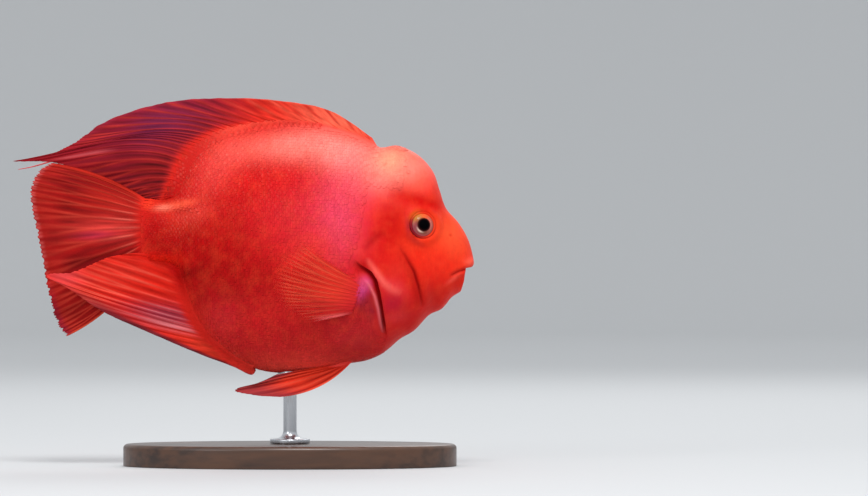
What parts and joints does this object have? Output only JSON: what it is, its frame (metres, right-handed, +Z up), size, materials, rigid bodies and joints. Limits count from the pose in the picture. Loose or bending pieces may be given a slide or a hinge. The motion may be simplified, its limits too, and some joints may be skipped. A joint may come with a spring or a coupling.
{
  "type": "blood parrot cichlid model",
  "caption": "Still, life-size model of a deep-bodied red aquarium fish with a humped head and trailing fins, held by a rod on an oval display base.",
  "frame": {"origin": "middle of the stand's underside, straight below the rod", "axes": "+Z up, +X towards the snout, -Y towards the fish's right side"},
  "size_m": [0.2087, 0.084, 0.1658],
  "materials": {
    "head_skin": "wet, satin skin, orange-red",
    "body_skin": "wet, fine-scaled skin, deep red with a pink sheen",
    "fin_skin": "thin ribbed membrane, red with darker gaps between rays",
    "iris": "glossy, pinkish grey with a gold patch",
    "pupil": "polished black",
    "stand_wood": "satin lacquer over dark hardwood",
    "stand_metal": "turned and brushed"
  },
  "bodies": {
    "root": {"head": "head_skin", "lower_jaw": "head_skin", "trunk": "body_skin", "tail_stock": "body_skin", "eye_left": "iris", "eye_right": "iris", "pupil_left": "pupil", "pupil_right": "pupil", "dorsal_fin": "fin_skin", "anal_fin": "fin_skin", "caudal_fin": "fin_skin", "pectoral_fin_left": "fin_skin", "pectoral_fin_right": "fin_skin", "pelvic_fin_left": "fin_skin", "pelvic_fin_right": "fin_skin", "stand_base": "stand_wood", "stand_rod": "stand_metal"}
  },
  "joints": []
}
